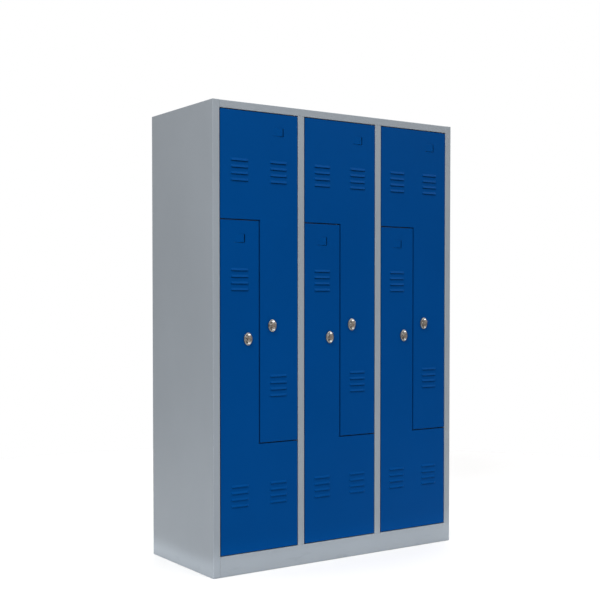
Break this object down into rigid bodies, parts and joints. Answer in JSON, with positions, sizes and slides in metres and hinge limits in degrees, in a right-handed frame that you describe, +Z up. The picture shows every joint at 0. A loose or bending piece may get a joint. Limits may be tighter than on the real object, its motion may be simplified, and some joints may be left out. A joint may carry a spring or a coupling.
{
  "type": "locker cabinet",
  "caption": "Floor-standing steel locker cabinet: tall columns closed by interlocking L-shaped hinged doors with louvres, padlock knobs and label pockets.",
  "frame": {"origin": "centre of the overall box on the floor, locks included", "axes": "+Z up, the doors face -Y, +X to the right as seen from the front"},
  "size_m": [1.185, 0.513, 1.8],
  "materials": {
    "body_paint": "light grey powder coat, fine texture",
    "door_paint": "strong blue powder coat, fine texture",
    "nickel": "bright nickel-plated die casting",
    "zinc_steel": "zinc-plated steel",
    "bush_plastic": "black nylon",
    "dark_steel": "black passivated steel",
    "rubber": "matt black rubber"
  },
  "bodies": {
    "cabinet": {"left_side_panel": "body_paint", "right_side_panel": "body_paint", "back_panel": "body_paint", "roof_panel": "body_paint", "floor_panel": "body_paint", "plinth": "body_paint", "partition_1": "body_paint", "partition_2": "body_paint", "post_1": "body_paint", "post_2": "body_paint", "z_partition_1": "body_paint", "z_partition_2": "body_paint", "z_partition_3": "body_paint", "stop_strips": "body_paint", "hinge_brackets": "dark_steel", "hinge_bushes": "bush_plastic", "door_bumpers": "rubber", "coat_hooks": "zinc_steel"},
    "upper_leaf_1": {"upper_door_1": "door_paint", "upper_door_stiffener_1": "door_paint", "upper_hinge_pins_1": "zinc_steel", "upper_lock_housing_1": "nickel", "upper_lock_nut_1": "zinc_steel"},
    "upper_lock_1": {"upper_lock_knob_1": "nickel", "upper_lock_cam_1": "zinc_steel"},
    "lower_leaf_1": {"lower_door_1": "door_paint", "lower_door_stiffener_1": "door_paint", "lower_hinge_pins_1": "zinc_steel", "lower_lock_housing_1": "nickel", "lower_lock_nut_1": "zinc_steel"},
    "lower_lock_1": {"lower_lock_knob_1": "nickel", "lower_lock_cam_1": "zinc_steel"},
    "upper_leaf_2": {"upper_door_2": "door_paint", "upper_door_stiffener_2": "door_paint", "upper_hinge_pins_2": "zinc_steel", "upper_lock_housing_2": "nickel", "upper_lock_nut_2": "zinc_steel"},
    "upper_lock_2": {"upper_lock_knob_2": "nickel", "upper_lock_cam_2": "zinc_steel"},
    "lower_leaf_2": {"lower_door_2": "door_paint", "lower_door_stiffener_2": "door_paint", "lower_hinge_pins_2": "zinc_steel", "lower_lock_housing_2": "nickel", "lower_lock_nut_2": "zinc_steel"},
    "lower_lock_2": {"lower_lock_knob_2": "nickel", "lower_lock_cam_2": "zinc_steel"},
    "upper_leaf_3": {"upper_door_3": "door_paint", "upper_door_stiffener_3": "door_paint", "upper_hinge_pins_3": "zinc_steel", "upper_lock_housing_3": "nickel", "upper_lock_nut_3": "zinc_steel"},
    "upper_lock_3": {"upper_lock_knob_3": "nickel", "upper_lock_cam_3": "zinc_steel"},
    "lower_leaf_3": {"lower_door_3": "door_paint", "lower_door_stiffener_3": "door_paint", "lower_hinge_pins_3": "zinc_steel", "lower_lock_housing_3": "nickel", "lower_lock_nut_3": "zinc_steel"},
    "lower_lock_3": {"lower_lock_knob_3": "nickel", "lower_lock_cam_3": "zinc_steel"}
  },
  "joints": [
    {"name": "upper_door_hinge_1", "type": "hinge", "parent": "cabinet", "child": "upper_leaf_1", "pos_m": [-0.22067, -0.2355, 0.92625], "axis": [0, 0, 1], "range_deg": [0, 95]},
    {"name": "upper_lock_turn_1", "type": "hinge", "parent": "upper_leaf_1", "child": "upper_lock_1", "pos_m": [-0.32983, -0.2435, 0.95125], "axis": [0, -1, 0], "range_deg": [0, 90]},
    {"name": "lower_door_hinge_1", "type": "hinge", "parent": "cabinet", "child": "lower_leaf_1", "pos_m": [-0.549, -0.2355, 0.92625], "axis": [0, 0, -1], "range_deg": [0, 95]},
    {"name": "lower_lock_turn_1", "type": "hinge", "parent": "lower_leaf_1", "child": "lower_lock_1", "pos_m": [-0.43983, -0.2435, 0.90125], "axis": [0, 1, 0], "range_deg": [0, 90]},
    {"name": "upper_door_hinge_2", "type": "hinge", "parent": "cabinet", "child": "upper_leaf_2", "pos_m": [0.16417, -0.2355, 0.92625], "axis": [0, 0, 1], "range_deg": [0, 95]},
    {"name": "upper_lock_turn_2", "type": "hinge", "parent": "upper_leaf_2", "child": "upper_lock_2", "pos_m": [0.055, -0.2435, 0.95125], "axis": [0, -1, 0], "range_deg": [0, 90]},
    {"name": "lower_door_hinge_2", "type": "hinge", "parent": "cabinet", "child": "lower_leaf_2", "pos_m": [-0.16417, -0.2355, 0.92625], "axis": [0, 0, -1], "range_deg": [0, 95]},
    {"name": "lower_lock_turn_2", "type": "hinge", "parent": "lower_leaf_2", "child": "lower_lock_2", "pos_m": [-0.055, -0.2435, 0.90125], "axis": [0, 1, 0], "range_deg": [0, 90]},
    {"name": "upper_door_hinge_3", "type": "hinge", "parent": "cabinet", "child": "upper_leaf_3", "pos_m": [0.549, -0.2355, 0.92625], "axis": [0, 0, 1], "range_deg": [0, 95]},
    {"name": "upper_lock_turn_3", "type": "hinge", "parent": "upper_leaf_3", "child": "upper_lock_3", "pos_m": [0.43983, -0.2435, 0.95125], "axis": [0, -1, 0], "range_deg": [0, 90]},
    {"name": "lower_door_hinge_3", "type": "hinge", "parent": "cabinet", "child": "lower_leaf_3", "pos_m": [0.22067, -0.2355, 0.92625], "axis": [0, 0, -1], "range_deg": [0, 95]},
    {"name": "lower_lock_turn_3", "type": "hinge", "parent": "lower_leaf_3", "child": "lower_lock_3", "pos_m": [0.32983, -0.2435, 0.90125], "axis": [0, 1, 0], "range_deg": [0, 90]}
  ]
}
